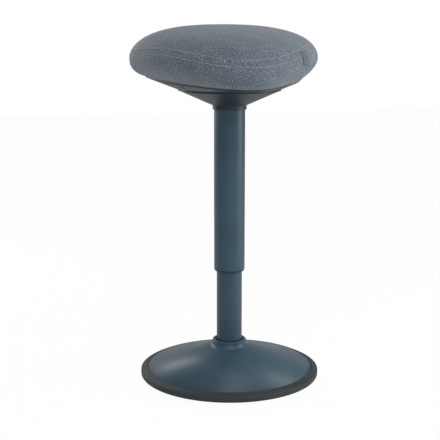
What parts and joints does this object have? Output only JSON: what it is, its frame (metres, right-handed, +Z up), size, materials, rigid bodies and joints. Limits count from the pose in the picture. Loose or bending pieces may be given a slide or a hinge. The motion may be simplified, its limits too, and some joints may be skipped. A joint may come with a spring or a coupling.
{
  "type": "wobble stool",
  "caption": "Height-adjustable wobble stool with a padded three-lobed seat, a telescoping swivel column and a round base that rocks on a convex sole.",
  "frame": {"origin": "centre of the flat patch under the base, on the floor", "axes": "+Z up along the column; -Y towards one lobe of the seat, its nose"},
  "size_m": [0.3804, 0.383, 0.7081],
  "materials": {
    "rubber_black": "matte",
    "painted_steel": "satin",
    "plain_steel": "satin",
    "cast_iron": "matte",
    "bright_steel": "polished",
    "grey_plastic": "satin",
    "black_plastic": "matte",
    "aluminium": "satin",
    "plywood": "matte",
    "seat_fabric": "matte",
    "tag_weave": "matte",
    "foam": "matte"
  },
  "bodies": {
    "base": {"rocker_sole": "rubber_black", "rocker_plate": "plain_steel", "ballast_disc": "cast_iron", "rim_ring": "rubber_black", "base_dome": "painted_steel", "dome_posts": "plain_steel", "column_hub": "plain_steel", "tube_seal": "rubber_black", "base_screws": "bright_steel", "hub_bolts": "bright_steel", "standing_tube": "painted_steel", "foot_plate": "plain_steel", "guide_bush": "black_plastic", "lower_race": "bright_steel", "bearing_balls": "bright_steel", "ball_cage": "black_plastic"},
    "rod": {"upper_race": "bright_steel", "bump_stop": "rubber_black", "piston_rod": "bright_steel", "rod_clip": "plain_steel", "piston": "aluminium", "piston_ring": "rubber_black", "piston_nut": "bright_steel"},
    "seat": {"gas_cylinder": "plain_steel", "rod_guide": "black_plastic", "valve_block": "aluminium", "shroud_tube": "painted_steel", "shroud_bush": "black_plastic", "shroud_adapter": "black_plastic", "hub_collar": "grey_plastic", "hub_funnel": "grey_plastic", "funnel_screws": "bright_steel", "seat_mount": "plain_steel", "pivot_bracket": "plain_steel", "pivot_pin": "bright_steel", "mount_bolts": "bright_steel", "mount_spacers": "black_plastic", "tee_nuts": "bright_steel", "seat_pan": "grey_plastic", "pan_screws": "bright_steel", "seat_board": "plywood", "cushion_foam": "foam", "cover_top": "seat_fabric", "cover_side": "seat_fabric", "seam_tag": "tag_weave"},
    "ring": {"release_ring": "grey_plastic"},
    "rocker": {"valve_rocker": "plain_steel"},
    "valve": {"valve_pin": "bright_steel"}
  },
  "joints": [
    {"name": "seat_swivel", "type": "hinge", "parent": "base", "child": "rod", "pos_m": [0, 0, 0.025], "axis": [0, 0, 1], "continuous": true},
    {"name": "height_slide", "type": "slide", "parent": "rod", "child": "seat", "axis": [0, 0, 1], "range_m": [-0.138, 0.06]},
    {"name": "release_lift", "type": "slide", "parent": "seat", "child": "ring", "axis": [0, 0, 1], "range_m": [0, 0.004], "stiffness_N_per_m": 1500, "springref_m": -0.002},
    {"name": "lever_rock", "type": "hinge", "parent": "seat", "child": "rocker", "pos_m": [0.024, 0, 0.59527], "axis": [0, -1, 0], "range_deg": [0, 7.7]},
    {"name": "valve_press", "type": "slide", "parent": "seat", "child": "valve", "axis": [0, 0, -1], "range_m": [0, 0.0035]}
  ],
  "couplings": [
    {"joint": "lever_rock", "follows": "release_lift", "rad_per_m": 33.333},
    {"joint": "valve_press", "follows": "release_lift", "ratio": 0.85}
  ]
}
